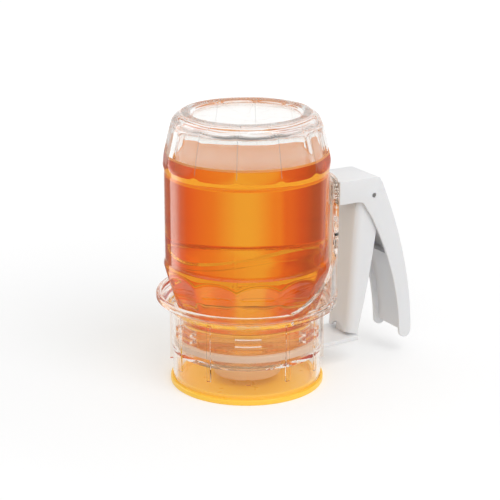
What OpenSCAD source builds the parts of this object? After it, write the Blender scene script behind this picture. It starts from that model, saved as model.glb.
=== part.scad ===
// Honey dispenser: an upturned faceted jar screwed into a clear cup. Squeezing the trigger in
// the handle draws a slide gate off the outlet, and the whole stands in a round drip tray.
// Origin: centre of the tray's underside. +Z is up, and the handle points along +X.

/* [Jar] */
// Radius of the jar at its straight middle, where a label goes
jar_r = 47.5; // [46:0.5:50]
// Height of the jar, from its mouth to the ring that it stands on
jar_h = 135.7; // [126:1:146]
// Thickness of the glass
glass_t = 2.8; // [2.2:0.1:3.4]
// Radius of the jar's neck between its threads
neck_r = 37.8; // [36.5:0.1:39]
// How far the thread ridges stand out of the neck
thread_out = 1.7; // [1.3:0.1:2]
// How far the belly bands stand out of the middle
belly_out = 1.1; // [0.8:0.1:1.4]
// Depth to which the flat panels cut the shoulder and the heel
panel_cut = 0.8; // [0.6:0.1:1]
// Height of the honey above the jar's mouth
honey_h = 111.6; // [70:0.1:115]

/* [Cup] */
// Wall of the clear cup
cup_wall = 2.4; // [1.8:0.1:3]
// Height of the skirt under the cup's floor
skirt_h = 17.6; // [17:0.1:20]
// Thickness of the cup's floor
floor_t = 2.4; // [2:0.1:3]
// Depth of the pool of honey between the floor and the jar's seal
pool_h = 2.4; // [2:0.1:3]
// Height of the socket, from the floor's top to where the collar starts to flare
socket_h = 22; // [19:0.5:23]
// Height of the flare, from the socket to the top of the collar
flare_h = 10.7; // [9:0.1:13]
// Height of the lip round the collar and up the edges of the upright
lip_h = 3.7; // [2.5:0.1:4.5]
// Width of a rib on the outside of the cup
rib_w = 2.3; // [1.5:0.1:3]
// How far a rib stands out
rib_out = 0.6; // [0.3:0.1:0.8]
// Radius of the outlet in the floor
outlet_r = 8; // [6:0.5:9]

/* [Upright] */
// Height of the upright above the collar
upright_h = 64.8; // [58:1:70]
// Half of the upright's width
upright_half = 29; // [26:1:32]
// Thickness of the upright
upright_t = 2.6; // [2.2:0.1:3.2]

/* [Handle] */
// Outer width of the handle
handle_w = 29; // [26:0.5:34]
// Wall of the handle
handle_wall = 1.8; // [1.4:0.1:2.2]
// Height of the bridge from the upright to the grip
bridge_h = 14; // [13:0.5:16]
// Length of the bridge's flat top
bridge_len = 28.4; // [27:0.2:32]
// How far the bridge lies below the upright's top
bridge_drop = 4.5; // [3:0.5:7]
// How far the grip sweeps out beyond the bridge's top
grip_sweep = 25.3; // [23:0.5:30]
// Height of the grip's foot above the table
grip_foot = 9.3; // [6:0.1:14]
// Depth of the grip at its foot
grip_depth = 8.6; // [7.5:0.1:9.5]

/* [Trigger] */
// Gap between the trigger and the handle's walls on each side
trigger_gap = 0.4; // [0.3:0.1:0.8]
// Wall of the trigger
trigger_wall = 2; // [1.6:0.1:2.4]
// Angle through which the trigger turns
trigger_turn = 16; // [12:1:17]
// Radius of the pivot pin
pin_r = 1.5; // [1.2:0.1:1.8]
// Radius of the link pin in the trigger's foot
link_r = 1.2; // [1:0.1:1.4]
// Diameter of the return spring's wire
wire_d = 1; // [0.8:0.1:1.2]
// Turns of the return spring
spring_turns = 4; // [3:1:5]

/* [Gate] */
// Thickness of the slide gate
gate_t = 2.7; // [2.2:0.1:3.2]
// Half width of the gate's blade under the outlet
blade_half = 12; // [11.5:0.5:13]
// Half width of the gate's tail outside the cup
tail_half = 16; // [15:0.5:18]
// Outer radius of the valve body under the floor
valve_r = 20.2; // [19.5:0.1:22]
// Height of the valve body's lower edge above the drip tray's seat
valve_low = 3.2; // [2:0.2:4]

/* [Drip tray] */
// How far the drip tray stands out round the cup
tray_out = 1.5; // [1.2:0.1:4]
// Height of the tray's lip
lip_z = 3; // [2.8:0.1:6]
// Thickness of the tray's floor
tray_t = 1.6; // [1.2:0.1:1.8]

/* [Hidden] */
$fn = 96;
eps = 0.01;

// Clearances
fit = 0.1;        // between rigid pieces that are fixed together
run_fit = 0.05;   // round a pin that turns
slide_fit = 0.3;  // between pieces that slide or are soft

// Heights, from the table up
seat_z = 2.6;                           // where the skirt stands in the tray
floor_z = seat_z + skirt_h;             // underside of the cup's floor
floor_top = floor_z + floor_t;
ledge_z = floor_top + pool_h;           // where the jar's seal lies
seal_base = 1;
mouth_z = ledge_z + seal_base + 0.2;    // the jar's mouth
seal_top = ledge_z + 3.7;
socket_top = floor_top + socket_h;
rim_z = socket_top + flare_h;           // top of the collar
upright_top = rim_z + upright_h;
gate_top = floor_z - 2.9;
gate_low = gate_top - gate_t;
bridge_top = upright_top - bridge_drop;
jar_top = mouth_z + jar_h;

// Radii, from the jar outwards
belly_r = jar_r + belly_out;
crown_r = belly_r + 1.4;                // inside of the collar and the upright
crown_out = crown_r + upright_t;
rim_r = crown_out + 0.5;
socket_r = neck_r + thread_out + 2.9;   // inside of the socket
cup_r = socket_r + cup_wall;
skirt_r = cup_r - 1.2;                  // the skirt's outside at its foot
pool_r = socket_r - 2.4;
tray_r = skirt_r + tray_out;

// Thread ridges on the jar, and the lugs in the cup that hold them down
lug_count = 6;
ridge_low = seal_top + 0.4;
ridge_h = 1.9;
lug_z = ridge_low + ridge_h + slide_fit;
lug_h = 6.8;
lug_r = neck_r + 0.5;
lug_w = 14.8;
cup_turn = 1.2;     // the lugs and ribs are turned a little from the handle
ridge_w = 17.5;

// Handle
half = handle_w / 2;
trigger_half = half - handle_wall - trigger_gap;
pad_x = crown_out + 2;                  // flat pad on the upright, where the bridge ends
corner_x = pad_x + bridge_len;          // where the bridge's top turns down into the grip
grip_h = bridge_top - grip_foot - 1.3;
pivot_x = corner_x - 4.2;
pivot_z = bridge_top - 11.1;
screw_r = 1.4;
screw_head_r = 2.7;
screw_y = 8;
screw_z = bridge_top - bridge_h / 2 - 1.5;
screw_len = 9;
head_x = pad_x - 3;                     // where the screws' heads sit

// Trigger and gate: the link pin's place, from the pivot
link_dx = -10.8;
link_z = gate_top + 4.3;
link_dz = link_z - pivot_z;
lug_half = 5;
slot_play = 1.1;

// Jar, in the plane of its profile
panel_count = 12;
panel_turn = 8.2;
shoulder_step = jar_r - neck_r;
shoulder_lean = atan(0.0305 * shoulder_step);
heel_lean = 12.4;

function arc(c, r, a0, a1, n) =
    [for (i = [0:n]) c + r * [cos(a0 + (a1 - a0) * i / n), sin(a0 + (a1 - a0) * i / n)]];
function mid(a, b, c, d, t) =
    0.5 * (2 * b + (c - a) * t + (2 * a - 5 * b + 4 * c - d) * t * t
    + (3 * b - a - 3 * c + d) * t * t * t);
// Smooth curve through the points p, in n steps between each pair
function curve(p, n) = let (k = len(p) - 1) [
    for (i = [0:k - 1], j = [0:n - 1])
        mid(p[max(i - 1, 0)], p[i], p[i + 1], p[min(i + 2, k)], j / n),
    p[k]];
function flip(p) = [for (i = [len(p) - 1:-1:0]) p[i]];

// The shoulder goes from the neck to the belly: share of that step, and height over the mouth
shoulder = [[0, 13], [0.02, 14.8], [0.14, 17.2], [0.35, 20.8], [0.57, 25.6], [0.71, 29.6],
    [0.81, 33.7], [0.93, 37]];
// Lower belly: share of belly_out, and height over the mouth
lower_belly = [[0.6, 39.6], [1, 43], [0.6, 46.8], [0, 49.2], [-0.3, 50.6], [0, 52.4]];
// Upper belly: share of belly_out, and depth below the standing ring
upper_belly = [[0, 38], [-0.3, 35.6], [0, 33.6], [0.5, 30], [0.65, 27], [0.4, 23.4],
    [-0.2, 19.8], [-1.1, 16.3], [-2, 12.8], [-2.9, 9.3]];
// Heel: radius taken from jar_r, and depth below the standing ring
heel = [[4.4, 5.8], [6, 3.3], [8.2, 1.2], [10.6, 0.3]];
function body_points(d) = concat(
    [for (s = shoulder) [neck_r + s[0] * (jar_r - neck_r) - d, mouth_z + s[1]]],
    [for (s = lower_belly) [jar_r + s[0] * belly_out - d, mouth_z + s[1]]],
    [for (s = upper_belly) [jar_r + s[0] * belly_out - d, jar_top - s[1]]]);
ring_r = jar_r - 12.9;
jar_outside = curve(concat(body_points(0), [for (s = heel) [jar_r - s[0], jar_top - s[1]]],
    [[ring_r, jar_top]]), 2);
base_t = glass_t + 1.6;
punt = 2.6;
function jar_inside(d) = curve(concat(body_points(glass_t + d),
    [[jar_r - 9.6, jar_top - punt - base_t + 0.6], [jar_r - 16, jar_top - punt - base_t - d],
    [0, jar_top - punt - base_t - 0.6 - d]]), 2);

// Ring of radius r and height h, whose wall goes inwards
module ring(r, wall, h) {
    difference() {
        cylinder(r = r, h = h);
        translate([0, 0, -eps]) cylinder(r = r - wall, h = h + 2 * eps);
    }
}

module turned(pts) {
    rotate_extrude() polygon(pts);
}

// Outline in the XZ plane, made 2 * w thick about the handle's middle plane
module slab(pts, w) {
    translate([0, w, 0]) rotate([90, 0, 0]) linear_extrude(2 * w) polygon(pts);
}

// Blocks that cut a band of flat panels round the jar, from radius r at z, leaning by lean
module panels(r, z, lean) {
    for (i = [0:panel_count - 1])
        rotate([0, 0, panel_turn + i * 360 / panel_count])
            translate([r - panel_cut, -jar_r / 2, z]) rotate([0, lean, 0])
                cube([jar_r / 2, jar_r, 0.61 * jar_r]);
}

module honey_jar() {
    color("whitesmoke") {
        difference() {
            turned(concat(
                [[neck_r - 2.4, mouth_z], [neck_r + 0.3, mouth_z], [neck_r + 0.6, mouth_z + 0.4],
                [neck_r + 0.6, mouth_z + 2.4], [neck_r, mouth_z + 3]],
                jar_outside,
                [[ring_r - 1.8, jar_top - 0.5], [ring_r - 3.8, jar_top - punt + 0.4],
                [ring_r - 6, jar_top - punt], [0, jar_top - punt - 0.4]],
                flip(jar_inside(0)), [[neck_r - 2.6, mouth_z + 0.6]]));
            panels(neck_r + 0.33 * shoulder_step, mouth_z + 18.4, shoulder_lean);
            panels(belly_r + 0.7, jar_top - 0.61 * jar_r, -heel_lean);
        }
        for (i = [0:lug_count - 1])
            rotate([0, 0, i * 360 / lug_count]) intersection() {
                translate([0, 0, ridge_low]) ring(neck_r + thread_out, thread_out + 0.6, ridge_h);
                translate([0, -ridge_w / 2, ridge_low]) cube([neck_r * 2, ridge_w, ridge_h]);
            }
    }
}

module honey() {
    level = mouth_z + honey_h;
    wall = [for (p = jar_inside(slide_fit)) if (p[1] < level) p];
    neck = neck_r - 2.6 - slide_fit;
    color("darkorange")
        turned(concat(
            [[0, gate_top + slide_fit], [outlet_r - fit, gate_top + slide_fit],
            [outlet_r - fit, floor_top - 0.4 + fit], [pool_r - slide_fit, floor_top + fit],
            [pool_r - slide_fit, ledge_z - fit], [neck, ledge_z - fit]],
            wall, [[wall[len(wall) - 1][0], level], [0, level]]));
}

// The crown's edge seen from the side, from the collar up to the upright's foot
function sweep_edge() = let (x = crown_out - 8.2, z = rim_z)
    curve([[-12, z - 0.1], [0, z + 0.2], [0.12 * x, z + 1.9], [0.3 * x, z + 5.2],
    [0.45 * x, z + 8.6], [0.59 * x, z + 12.3], [0.72 * x, z + 16.8], [0.81 * x, z + 21.8],
    [0.9 * x, z + 28.5], [x - 3.2, z + 36], [x - 5.4, z + 46]], 2);
// The upright's edge seen along the handle
function upright_edge() = let (w = upright_half)
    curve([[w + 30, rim_z + 23], [w + 7, rim_z + 25], [w + 2.6, rim_z + 29.5],
    [w + 0.6, rim_z + 35.5], [w, rim_z + 42], [w, upright_top - 15],
    [w - 1.4, upright_top - 8], [w - 5, upright_top - 2.8], [w - 11, upright_top - 0.5],
    [w - 18, upright_top]], 2);

// Block of all that lies below the crown's edge, with the edge set in by d
module below_edge(d) {
    side = [for (p = sweep_edge()) p + d * [0.5, -0.9]];
    front = [for (p = upright_edge()) p - d * [1, 0.8]];
    intersection() {
        slab(concat([[-12 + d * 0.5, 0]], side, [[upright_half, upright_top + 5],
            [rim_r + 5, upright_top + 5], [rim_r + 5, 0]]), rim_r + 10);
        rotate([90, 0, 90]) linear_extrude(rim_r + 10)
            polygon(concat([[rim_r + 40, 0]], front,
                [for (p = flip(front)) [-p[0], p[1]]], [[-rim_r - 40, 0]]));
    }
}

module crown() {
    z0 = socket_top + 4;
    intersection() {
        translate([0, 0, z0]) ring(crown_out, upright_t, upright_top - z0 + 1);
        below_edge(0);
    }
    intersection() {
        translate([0, 0, rim_z - lip_h]) ring(rim_r, upright_t, upright_top - rim_z + lip_h + 1);
        difference() {
            below_edge(0);
            translate([-eps, 0, 0]) below_edge(lip_h);
        }
    }
}

// The cup's own section: skirt, socket, flare and collar, with the floor
flare_low = [cup_r, socket_top];
flare_high = [crown_out, rim_z - lip_h];
flare_out = curve([for (s = [[0, -0.28], [0.01, 0.14], [0.1, 0.4], [0.31, 0.64], [0.72, 0.79],
    [0.95, 0.93]]) flare_low + [for (k = [0, 1]) s[k] * (flare_high - flare_low)[k]]], 3);
flare_in = curve(concat([[crown_r, rim_z - 1.2]], [for (s = [[0.95, 0.97], [0.55, 0.57],
    [0.09, 0.14], [0, -0.14]]) [socket_r + s[0] * (crown_r - socket_r),
    socket_top + s[1] * (rim_z - lip_h - socket_top)]]), 3);
cup_outside = concat([[skirt_r - 0.6, seat_z], [skirt_r, seat_z + 0.6],
    [skirt_r + 0.8, floor_z + 4], [cup_r, floor_z + 12]], flare_out,
    [[rim_r - 0.4, rim_z - lip_h], [rim_r, rim_z - lip_h + 0.5]],
    arc([rim_r - 1.3, rim_z - 1.3], 1.3, 0, 90, 5));
cup_inside = concat(arc([crown_r + 1.2, rim_z - 1.2], 1.2, 90, 150, 4), flare_in,
    [[socket_r, ledge_z], [pool_r, ledge_z], [pool_r, floor_top],
    [outlet_r, floor_top - 0.4]]);
skirt_inside = [[outlet_r, floor_z], [socket_r - 0.9, floor_z], [skirt_r - cup_wall, seat_z]];

notch_half = tail_half + 1;

module clear_cup() {
    color("lavenderblush", 0.5) difference() {
        union() {
            turned(concat(cup_outside, cup_inside, skirt_inside));
            crown();
            // ribs down the outside
            intersection() {
                translate([0, 0, seat_z + 10])
                    ring(cup_r + rib_out, cup_wall, socket_top - seat_z - 8);
                for (i = [0:5])
                    rotate([0, 0, cup_turn + i * 30])
                        translate([-cup_r - 5, -rib_w / 2, seat_z + 10])
                            cube([2 * cup_r + 10, rib_w, socket_top - seat_z - 8]);
            }
            // lugs that hold the jar down, each in two bars
            for (i = [0:lug_count - 1])
                rotate([0, 0, cup_turn + i * 360 / lug_count]) intersection() {
                    translate([0, 0, lug_z]) difference() {
                        ring(socket_r + 0.5, socket_r + 0.5 - lug_r, lug_h);
                        translate([0, 0, lug_h * 0.38])
                            cylinder(r = socket_r - 0.1, h = lug_h * 0.24);
                    }
                    translate([0, -lug_w / 2, lug_z]) cube([rim_r, lug_w, lug_h]);
                }
            // collar under the floor, round the valve body
            translate([0, 0, gate_low - 1]) ring(valve_r + fit + 1.8, 1.8, floor_z - gate_low + 1.5);
            // flat pad for the bridge
            intersection() {
                translate([0, -half + 1, bridge_top - bridge_h + 0.5])
                    cube([pad_x, handle_w - 2, bridge_h - 1]);
                difference() {
                    cylinder(r = pad_x + 10, h = bridge_top + 5);
                    translate([0, 0, -eps]) cylinder(r = crown_r + 0.3, h = bridge_top + 6);
                }
            }
        }
        // groove for the outlet's seal
        translate([0, 0, floor_z - eps]) ring(outlet_r + 3.8 + fit, 2.6 + 2 * fit, 0.9 + eps);
        // way out for the gate, through the skirt and the collar
        translate([valve_r - 8, -notch_half, gate_low - 2])
            cube([rim_r, 2 * notch_half, gate_t + 2 + 0.5]);
        translate([skirt_r - 8, -notch_half, seat_z - 1])
            cube([20, 2 * notch_half, gate_low - seat_z]);
        // holes and seats for the handle's screws
        for (s = [-1, 1]) translate([0, s * screw_y, screw_z]) rotate([0, 90, 0]) {
            translate([0, 0, crown_r - 6]) cylinder(r = screw_head_r + fit, h = head_x - crown_r + 6);
            translate([0, 0, head_x - 1]) cylinder(r = screw_r + fit, h = 10);
        }
    }
}

module jar_seal() {
    color("white") turned([[neck_r - 1.8, ledge_z], [socket_r - fit, ledge_z],
        [socket_r - fit, seal_top - 0.5], [socket_r - 0.6, seal_top],
        [neck_r + 1.4, seal_top], [neck_r + 0.9, seal_top - 0.5],
        [neck_r + 0.9, ledge_z + seal_base], [neck_r - 1.8, ledge_z + seal_base]]);
}

module outlet_seal() {
    color("white") difference() {
        union() {
            translate([0, 0, gate_top + slide_fit])
                cylinder(r = outlet_r + 3.8, h = floor_z - gate_top - slide_fit);
            translate([0, 0, floor_z - eps]) cylinder(r = outlet_r + 3.8, h = 0.9 + eps);
        }
        translate([0, 0, gate_top]) cylinder(r = outlet_r + 0.2, h = floor_z);
        translate([0, 0, floor_z]) cylinder(r = outlet_r + 1.2, h = floor_z);
    }
}

// Space that the blade moves in: a round end and a straight way out along +X
module blade_way(r, h, reach) {
    cylinder(r = r, h = h);
    translate([0, -r, 0]) cube([reach, 2 * r, h]);
}

module valve_body() {
    low = seat_z + valve_low;
    plate_low = gate_low - slide_fit - 1.6;
    color("white") difference() {
        turned([[valve_r - 1.8, low], [valve_r - 0.5, low], [valve_r, low + 0.5],
            [valve_r, floor_z], [0, floor_z], [0, plate_low], [valve_r - 2.4, plate_low]]);
        translate([0, 0, plate_low - 1]) cylinder(r = outlet_r + 1.5, h = floor_z);
        translate([0, 0, gate_low - slide_fit])
            blade_way(blade_half + slide_fit, floor_z, valve_r + 2);
    }
}

module slide_gate() {
    tail_x = pivot_x + link_dx + 3;
    neck_x = skirt_r - 8;
    color("white") difference() {
        union() {
            translate([0, 0, gate_low]) {
                blade_way(blade_half, gate_t, neck_x + 1);
                linear_extrude(gate_t) polygon(concat(
                    [[neck_x - 4, -blade_half], [neck_x, -tail_half]],
                    [[tail_x - 3, -tail_half + 2], [tail_x - 0.8, -tail_half + 2.6]],
                    [[tail_x, -tail_half + 4], [tail_x, tail_half - 4]],
                    [[tail_x - 0.8, tail_half - 2.6], [tail_x - 3, tail_half - 2]],
                    [[neck_x, tail_half], [neck_x - 4, blade_half]]));
            }
            // slotted lug that the link pin drives
            translate([pivot_x + link_dx, lug_half, 0]) rotate([90, 0, 0]) {
                translate([0, link_z + slot_play - 0.3, 0])
                    cylinder(r = link_r + 1.1, h = 2 * lug_half);
                translate([-link_r - 1.1, gate_top - 0.5, 0])
                    cube([2 * link_r + 2.2, link_z - gate_top + slot_play + 0.2, 2 * lug_half]);
            }
        }
        translate([pivot_x + link_dx, lug_half + 1, 0]) rotate([90, 0, 0]) {
            for (z = [link_z - slot_play, link_z + slot_play - 0.3])
                translate([0, z, 0]) cylinder(r = link_r + run_fit, h = 2 * lug_half + 2);
            translate([-link_r - run_fit, link_z - slot_play, 0])
                cube([2 * (link_r + run_fit), 2 * slot_play - 0.3, 2 * lug_half + 2]);
        }
    }
}

// Outline of the grip: x at a share t of the way down it
function grip_out(t) = corner_x + grip_sweep * (1 - pow(1 - t, 1.9));
function grip_in(t) = grip_out(t) - grip_depth - 11.5 * (1 - t) * (1 - t);
function grip_z(t) = bridge_top - t * grip_h;
grip_steps = 24;
under_t = bridge_h / grip_h;
end_t = 1 - grip_depth / 2 / grip_h;
under_z = bridge_top - bridge_h;

// Side of the handle: bridge and grip in one outline, set in by d
function handle_outline() = concat(
    [[pad_x, under_z], [pad_x, bridge_top], [corner_x - 1.6, bridge_top],
    [corner_x - 0.3, bridge_top - 0.5]],
    [for (i = [1:grip_steps]) let (t = end_t * i / grip_steps) [grip_out(t), grip_z(t)]],
    arc([(grip_out(end_t) + grip_in(end_t)) / 2, grip_z(end_t)], grip_depth / 2, 0, -180, 10),
    [for (i = [grip_steps:-1:3])
        let (t = under_t + (end_t - under_t) * i / grip_steps) [grip_in(t), grip_z(t)]],
    [[grip_in(under_t) - 0.6, under_z + 2.2 - 3], [grip_in(under_t) - 4, under_z]]);

// Hollow of the handle behind its skin: the deep channel that the trigger hangs in
skin = handle_wall + 0.4;
shelf_t = 0.49;
function hollow_outline() = concat(
    [[pad_x + 2.2, under_z - 1], [pad_x + 2.2, bridge_top - handle_wall],
    [corner_x - 1.2, bridge_top - handle_wall]],
    [for (i = [2:grip_steps]) let (t = shelf_t * i / grip_steps) [grip_out(t) - skin, grip_z(t)]],
    [for (i = [grip_steps:-1:0])
        let (t = under_t + (shelf_t - under_t) * i / grip_steps) [grip_in(t) - 4, grip_z(t)]]);

// Shallow channel below the shelf, and the core behind its face, open at the foot
face_in = 3.4;
face_t = 1.6;
function lower_outline(a, b) = concat(
    [for (i = [0:grip_steps]) let (t = shelf_t - 0.012 + (1.05 - shelf_t) * i / grip_steps)
        [grip_in(min(t, 1)) + a, grip_z(t)]],
    [for (i = [grip_steps:-1:0]) let (t = shelf_t - 0.012 + (1.05 - shelf_t) * i / grip_steps)
        [b < 0 ? grip_in(min(t, 1)) - 6 : grip_out(min(t, 1)) - b, grip_z(t)]]);

module handle_cover() {
    inner = half - handle_wall;
    color("white") difference() {
        union() {
            difference() {
                slab(handle_outline(), half);
                slab(hollow_outline(), inner);
                slab(lower_outline(face_in, -1), inner);
                // the core stops short of the shelf
                intersection() {
                    slab(lower_outline(face_in + face_t, skin), inner);
                    translate([0, -half, grip_foot - 10])
                        cube([200, handle_w, grip_z(shelf_t) - grip_foot + 10 - face_t]);
                }
                // the face ends above the feet of the walls
                translate([grip_in(1) - 10, -inner, grip_foot - 1])
                    cube([40, 2 * inner, 6]);
            }
            // bosses for the screws
            for (s = [-1, 1]) intersection() {
                translate([pad_x + 1, s * screw_y, screw_z]) rotate([0, 90, 0])
                    cylinder(r = screw_r + 1.8, h = screw_len + 0.5);
                slab(handle_outline(), half);
            }
        }
        for (s = [-1, 1]) translate([pad_x - 1, s * screw_y, screw_z]) rotate([0, 90, 0])
            cylinder(r = screw_r + fit / 2, h = screw_len + 0.4);
        translate([pivot_x, half + 1, pivot_z]) rotate([90, 0, 0])
            cylinder(r = pin_r + 0.02, h = handle_w + 2);
    }
}

module handle_screws() {
    color("silver") for (s = [-1, 1]) translate([0, s * screw_y, screw_z]) rotate([0, 90, 0])
        difference() {
            union() {
                translate([0, 0, head_x - 1.6]) cylinder(r = screw_head_r, h = 1.6);
                translate([0, 0, head_x - eps]) cylinder(r = screw_r, h = screw_len);
            }
            translate([0, 0, head_x - 2]) for (a = [0, 90]) rotate([0, 0, a])
                translate([-1.5, -0.35, 0]) cube([3, 0.7, 1.2]);
        }
}

module pivot_pin() {
    len = handle_w - 1;
    color("silver") translate([pivot_x, len / 2, pivot_z]) rotate([90, 0, 0])
        cylinder(r = pin_r, h = len);
}

module link_pin() {
    len = 2 * trigger_half - 1.6;
    color("silver") translate([pivot_x + link_dx, len / 2, link_z]) rotate([90, 0, 0])
        cylinder(r = link_r, h = len);
}

// Trigger, drawn from the pivot: the outline of its side, set in by d
trigger_top = 5.5;
foot_z = gate_top + 0.8 - pivot_z;
front_z = gate_top + 2 - pivot_z;
lean = 4.6 / 75;
function front_x(z) = -11 + lean * (z + 10);
function back_x(z) = let (u = -z / (pivot_z - gate_top)) 6.2 - 8.5 * u - 6.4 * u * u;
trigger_side = concat(
    [[front_x(front_z), front_z], [front_x(-9), -9], [-trigger_top - 3, 0]],
    arc([0, 0], trigger_top, 130, 0, 8),
    [for (i = [1:8]) let (z = -6 + (foot_z + 6) * i / 8) [back_x(z), z]],
    [[front_x(front_z) + 3.4, foot_z + 0.9]]);
// What is cut out between its side walls: all behind the face, and the top, for the spring
trigger_hollow = [[front_x(foot_z) + trigger_wall, foot_z - 3], [front_x(-9) + trigger_wall, -9],
    [front_x(-9) - 2, -8], [front_x(-9) - 2, trigger_top + 2], [back_x(0) + 5, trigger_top + 2],
    [back_x(0) + 5, foot_z - 3]];

// Plan of the trigger with its front corners rounded, leaning as its front does
module trigger_plan(d) {
    r = 5 - d;
    w = trigger_half - d;
    x = front_x(0) + d;
    deep = 1.4 * handle_w;
    rotate([0, atan(lean), 0]) translate([0, 0, -bridge_top]) linear_extrude(1.3 * bridge_top) {
        translate([x + r, -w]) square([deep, 2 * w]);
        translate([x, -w + r]) square([deep, 2 * w - 2 * r]);
        for (s = [-1, 1]) translate([x + r, s * (w - r)]) circle(r = r, $fn = 48);
    }
}

module trigger() {
    color("white") translate([pivot_x, 0, pivot_z]) difference() {
        union() {
            difference() {
                intersection() {
                    slab(trigger_side, trigger_half);
                    trigger_plan(0);
                }
                intersection() {
                    slab(trigger_hollow, trigger_half - trigger_wall);
                    trigger_plan(trigger_wall);
                }
                // arch over the gate's tail
                translate([front_x(front_z) - 2, 0, front_z - 4]) rotate([0, 90, 0])
                    cylinder(r = 8, h = trigger_wall + 4);
            }
            for (s = [-1, 1]) {
                // bosses that carry the spring's ends
                translate([0, s * (trigger_half - trigger_wall / 2), 0]) rotate([s * 90, 0, 0])
                    cylinder(r = pin_r + 1.3, h = 3.4);
                // bosses round the ends of the link pin
                translate([link_dx, s * (trigger_half - trigger_wall / 2), link_dz])
                    rotate([s * 90, 0, 0]) cylinder(r = link_r + 1.3, h = trigger_wall / 2 + 1.4);
            }
        }
        translate([0, half, 0]) rotate([90, 0, 0]) cylinder(r = pin_r + run_fit, h = handle_w);
        translate([link_dx, trigger_half - 0.8 + fit, link_dz]) rotate([90, 0, 0])
            cylinder(r = link_r + run_fit, h = 2 * (trigger_half - 0.8 + fit));
    }
}

// Return spring: one round wire from a leg under the bridge, round the pin, to a leg behind
// the trigger's face
coil_r = pin_r + 1.3 + 0.4 + wire_d / 2;
coil_pitch = wire_d + 0.6;
start_a = 34;
end_a = start_a + 360 * spring_turns + 126;
coil_half = (end_a - start_a) / 360 * coil_pitch / 2;
function coil_at(a) = let (u = (a - start_a) / (end_a - start_a))
    [coil_r * cos(a), coil_half * (2 * u - 1), coil_r * sin(a)];
function tangent(a) = [-sin(a), 0, cos(a)];
// Each leg is as long as fits: one to the skin of the grip, one to the trigger's face
leg_play = slide_fit + wire_d / 2;
out_leg = max([for (t = [4:0.1:16]) let (q = coil_at(start_a) - tangent(start_a) * t)
    if (pivot_x + q[0] + leg_play < grip_out((bridge_top - pivot_z - q[2]) / grip_h) - skin) t]);
in_leg = max([for (t = [4:0.1:16]) let (q = coil_at(end_a) + tangent(end_a) * t)
    if (q[0] - leg_play > front_x(q[2]) + trigger_wall) t]);
coil_rings = 8 * spring_turns + 4;
spring_path = concat(
    [coil_at(start_a) - tangent(start_a) * out_leg, coil_at(start_a) - tangent(start_a) * 1.5],
    [for (i = [0:coil_rings]) coil_at(start_a + (end_a - start_a) * i / coil_rings)],
    [coil_at(end_a) + tangent(end_a) * 1.5, coil_at(end_a) + tangent(end_a) * in_leg]);
function unit(v) = v / norm(v);
function heading(p, i) = unit(p[min(i + 1, len(p) - 1)] - p[max(i - 1, 0)]);
wire_sides = 6;
function wire_ring(p, i) = let (t = heading(p, i), u = unit(cross(t, [0, 1, 0])),
    v = cross(u, t))
    [for (k = [0:wire_sides - 1]) p[i]
        + wire_d / 2 * (u * cos(360 * k / wire_sides) + v * sin(360 * k / wire_sides))];

module wire_tube(p) {
    n = len(p);
    m = wire_sides;
    points = [for (i = [0:n - 1]) each wire_ring(p, i)];
    sides = [for (i = [0:n - 2], k = [0:m - 1]) let (a = i * m + k, b = i * m + (k + 1) % m)
        each [[a, a + m, b], [b, a + m, b + m]]];
    caps = [for (k = [1:m - 2]) each [[0, k, k + 1], [(n - 1) * m, (n - 1) * m + k + 1,
        (n - 1) * m + k]]];
    polyhedron(points = points, faces = concat(sides, caps));
}

module return_spring() {
    color("silver") translate([pivot_x, 0, pivot_z]) wire_tube(spring_path);
}
spring_gap = min([for (i = [0:len(spring_path) - 1], j = [0:len(spring_path) - 1])
    if (j > i + 4) norm(spring_path[i] - spring_path[j])]) - wire_d;
echo(spring_least_gap = spring_gap);

module drip_tray() {
    inner = skirt_r - cup_wall - slide_fit;
    ring_z = seat_z + 2.1;               // top of the ring inside the skirt
    color("gold") turned([[0, 0], [tray_r - 0.6, 0], [tray_r, 0.6], [tray_r, lip_z - 0.7],
        [tray_r - 0.2, lip_z - 0.2], [tray_r - 0.7, lip_z], [skirt_r + 0.5, lip_z],
        [skirt_r + slide_fit, lip_z - 0.2], [skirt_r + slide_fit, seat_z], [inner, seat_z],
        [inner, ring_z - 0.6], [inner - 0.5, ring_z], [inner - 1.4, ring_z],
        [inner - 2, ring_z - 0.6], [inner - 2.6, tray_t + 0.6], [inner - 4, tray_t],
        [0, tray_t]]);
}

drip_tray();
clear_cup();
jar_seal();
outlet_seal();
valve_body();
handle_cover();
handle_screws();
pivot_pin();
return_spring();
trigger();
link_pin();
slide_gate();
honey_jar();
honey();
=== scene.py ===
"""Honey dispenser: glass jar, honey, clear cup and white handle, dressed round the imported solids."""

import logging
import math
from collections.abc import Sequence
from dataclasses import dataclass
from enum import Enum

import bmesh
import bpy
from mathutils import Matrix, Vector


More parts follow.
